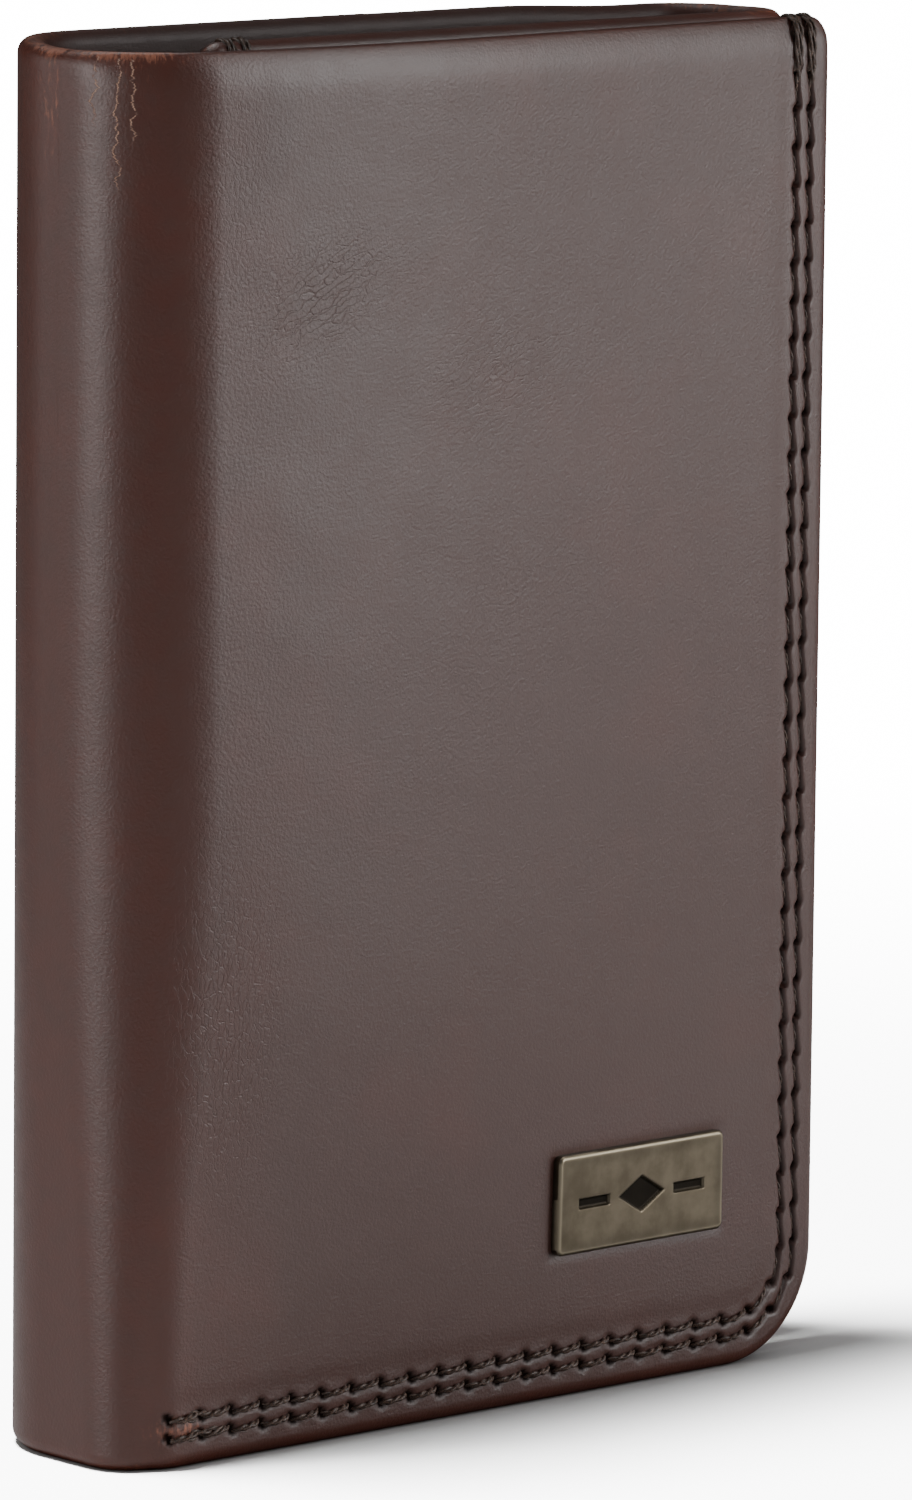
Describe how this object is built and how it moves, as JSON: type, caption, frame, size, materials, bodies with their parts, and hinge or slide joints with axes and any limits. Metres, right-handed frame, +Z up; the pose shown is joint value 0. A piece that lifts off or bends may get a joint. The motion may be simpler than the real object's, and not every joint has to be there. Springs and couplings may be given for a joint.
{
  "type": "trifold wallet",
  "caption": "Leather wallet that folds in three, with a banknote compartment, card pockets, a clear identity window and a small metal plaque on the front flap.",
  "frame": {"origin": "middle of the closed wallet's footprint, at its lower edge", "axes": "+Z up along the spine; +X along the front flap from the spine to its free edge; +Y from the front flap to the back (centre) panel"},
  "size_m": [0.075, 0.02, 0.108],
  "materials": {
    "cover_leather": "smooth oiled pull-up leather, semi-gloss, worn lighter at edges",
    "inner_leather": "smooth matt-satin leather",
    "lining": "fine woven, matt",
    "stiffener": "bonded fibre board, matt",
    "thread": "twisted waxed thread, satin",
    "plaque_brass": "antiqued and brushed, dark in the engraved motif",
    "washer_steel": "plain",
    "clear_film": "clear, glossy"
  },
  "bodies": {
    "centre_panel": {"centre_cover": "cover_leather", "centre_stiffener": "stiffener", "centre_lining": "lining", "centre_divider": "inner_leather", "centre_seam_threads": "thread", "window_spacer": "inner_leather", "window_film": "clear_film", "window_frame": "inner_leather", "window_threads": "thread"},
    "spine": {"spine_cover": "cover_leather", "spine_lining": "lining", "spine_divider": "inner_leather"},
    "front_flap": {"front_cover": "cover_leather", "front_stiffener": "stiffener", "front_lining": "lining", "front_divider": "inner_leather", "front_seam_threads": "thread", "front_lower_pocket": "inner_leather", "front_middle_pocket": "inner_leather", "front_upper_pocket": "inner_leather", "front_pocket_threads": "thread", "plaque": "plaque_brass", "plaque_washer": "washer_steel"},
    "fold_strip": {"fold_cover": "cover_leather", "fold_lining": "lining", "fold_divider": "inner_leather"},
    "inner_flap": {"inner_cover": "cover_leather", "inner_stiffener": "stiffener", "inner_lining": "lining", "inner_divider": "inner_leather", "inner_seam_threads": "thread", "inner_lower_pocket": "inner_leather", "inner_upper_pocket": "inner_leather", "inner_pocket_threads": "thread"}
  },
  "joints": [
    {"name": "spine_bend", "type": "hinge", "parent": "centre_panel", "child": "spine", "pos_m": [-0.0351, 0.0076, 0.054], "axis": [0, 0, -1], "range_deg": [0, 90]},
    {"name": "front_flap_bend", "type": "hinge", "parent": "spine", "child": "front_flap", "pos_m": [-0.03553, -0.00733, 0.054], "axis": [0, 0, -1], "range_deg": [0, 90]},
    {"name": "fold_bend", "type": "hinge", "parent": "centre_panel", "child": "fold_strip", "pos_m": [0.03566, 0.00816, 0.054], "axis": [0, 0, 1], "range_deg": [0, 90]},
    {"name": "inner_flap_bend", "type": "hinge", "parent": "fold_strip", "child": "inner_flap", "pos_m": [0.03566, -0.00091, 0.054], "axis": [0, 0, 1], "range_deg": [0, 90]}
  ],
  "couplings": [
    {"joint": "front_flap_bend", "follows": "spine_bend", "ratio": 1},
    {"joint": "fold_bend", "follows": "spine_bend", "ratio": 0.3},
    {"joint": "inner_flap_bend", "follows": "spine_bend", "ratio": 0.3}
  ]
}
